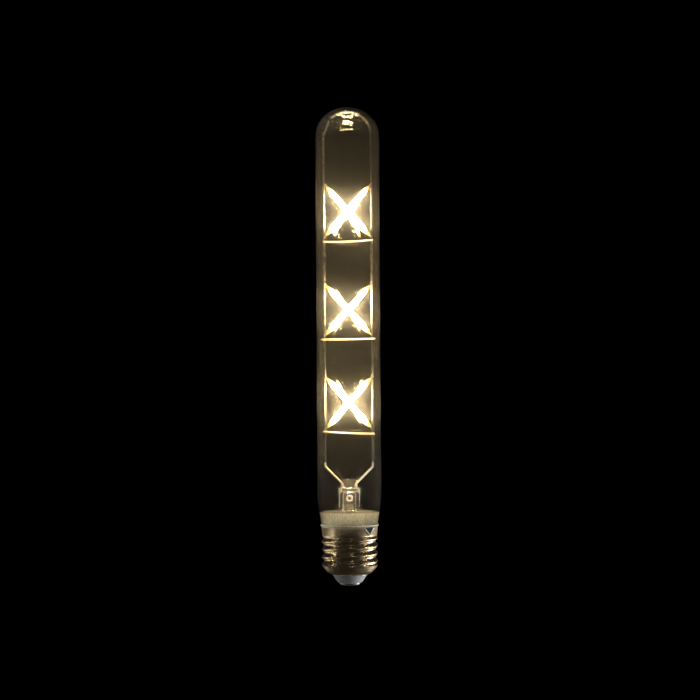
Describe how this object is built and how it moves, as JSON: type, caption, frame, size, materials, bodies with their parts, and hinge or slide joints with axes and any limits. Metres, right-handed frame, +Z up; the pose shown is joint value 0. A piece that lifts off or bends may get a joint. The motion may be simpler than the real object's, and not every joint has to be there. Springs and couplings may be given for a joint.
{
  "type": "tubular light bulb",
  "caption": "Clear tubular light bulb with crossed filaments on support rods over a glass stem, on a screw cap with a centre contact.",
  "frame": {"origin": "middle of the underside of the centre contact, at the end of the cap", "axes": "+Z up the axis of the bulb from the cap to the dome, -Y towards the viewer of the picture"},
  "size_m": [0.03, 0.03, 0.225],
  "materials": {
    "clear_glass": "clear",
    "stem_glass": "clear",
    "spacer_glass": "clear",
    "support_wire": "satin",
    "lead_wire": "satin",
    "filament_coat": "matte",
    "pin_metal": "satin",
    "cement": "matte",
    "cap_metal": "satin",
    "solder": "satin",
    "insulator": "gloss",
    "contact_metal": "satin",
    "board": "matte",
    "chip_black": "matte",
    "capacitor_sleeve": "gloss",
    "fuse_coat": "matte"
  },
  "bodies": {
    "root": {"glass_envelope": "clear_glass", "glass_stem": "stem_glass", "exhaust_tube": "stem_glass", "left_lead_wire": "lead_wire", "right_lead_wire": "lead_wire", "left_support_rod": "support_wire", "right_support_rod": "support_wire", "lower_rising_filament": "filament_coat", "lower_rising_pins": "pin_metal", "lower_falling_filament": "filament_coat", "lower_falling_pins": "pin_metal", "lower_spacer_rod": "spacer_glass", "middle_rising_filament": "filament_coat", "middle_rising_pins": "pin_metal", "middle_falling_filament": "filament_coat", "middle_falling_pins": "pin_metal", "middle_spacer_rod": "spacer_glass", "upper_rising_filament": "filament_coat", "upper_rising_pins": "pin_metal", "upper_falling_filament": "filament_coat", "upper_falling_pins": "pin_metal", "upper_spacer_rod": "spacer_glass", "capping_cement": "cement", "cap_shell": "cap_metal", "side_solder": "solder", "cap_insulator": "insulator", "centre_contact": "contact_metal", "driver_board": "board", "rectifier": "chip_black", "control_chip": "chip_black", "smoothing_capacitor": "capacitor_sleeve", "fuse_resistor": "fuse_coat", "neutral_wire": "lead_wire"}
  },
  "joints": []
}
